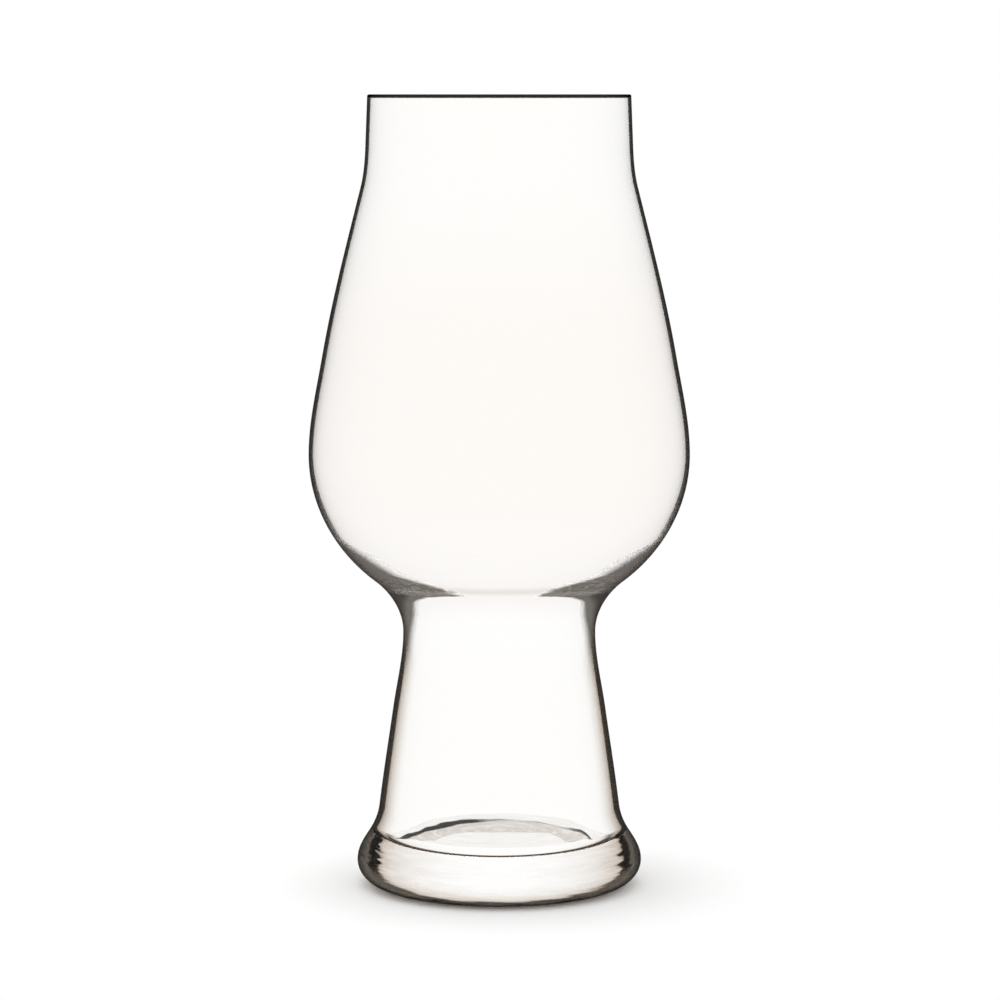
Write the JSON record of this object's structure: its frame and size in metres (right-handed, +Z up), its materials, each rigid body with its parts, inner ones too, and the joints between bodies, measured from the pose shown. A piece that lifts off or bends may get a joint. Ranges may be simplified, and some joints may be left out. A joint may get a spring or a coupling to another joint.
{
  "type": "tulip beer glass",
  "caption": "Clear tulip beer glass with an upright collar at the mouth, a round bowl, an open throat, a waisted hollow stem and a thick rounded foot.",
  "frame": {"origin": "centre of the flat ring that the glass rests on, at table level", "axes": "+Z up along the axis of the glass, towards the mouth; the glass is round, so +X and +Y are free, and -Y faces the viewer of the picture"},
  "size_m": [0.0855, 0.0854, 0.178],
  "materials": {
    "clear_glass": "clear, fire-polished soda-lime glass, smooth on both sides"
  },
  "bodies": {
    "root": {"bowl": "clear_glass", "hollow_stem": "clear_glass", "foot": "clear_glass"}
  },
  "joints": []
}
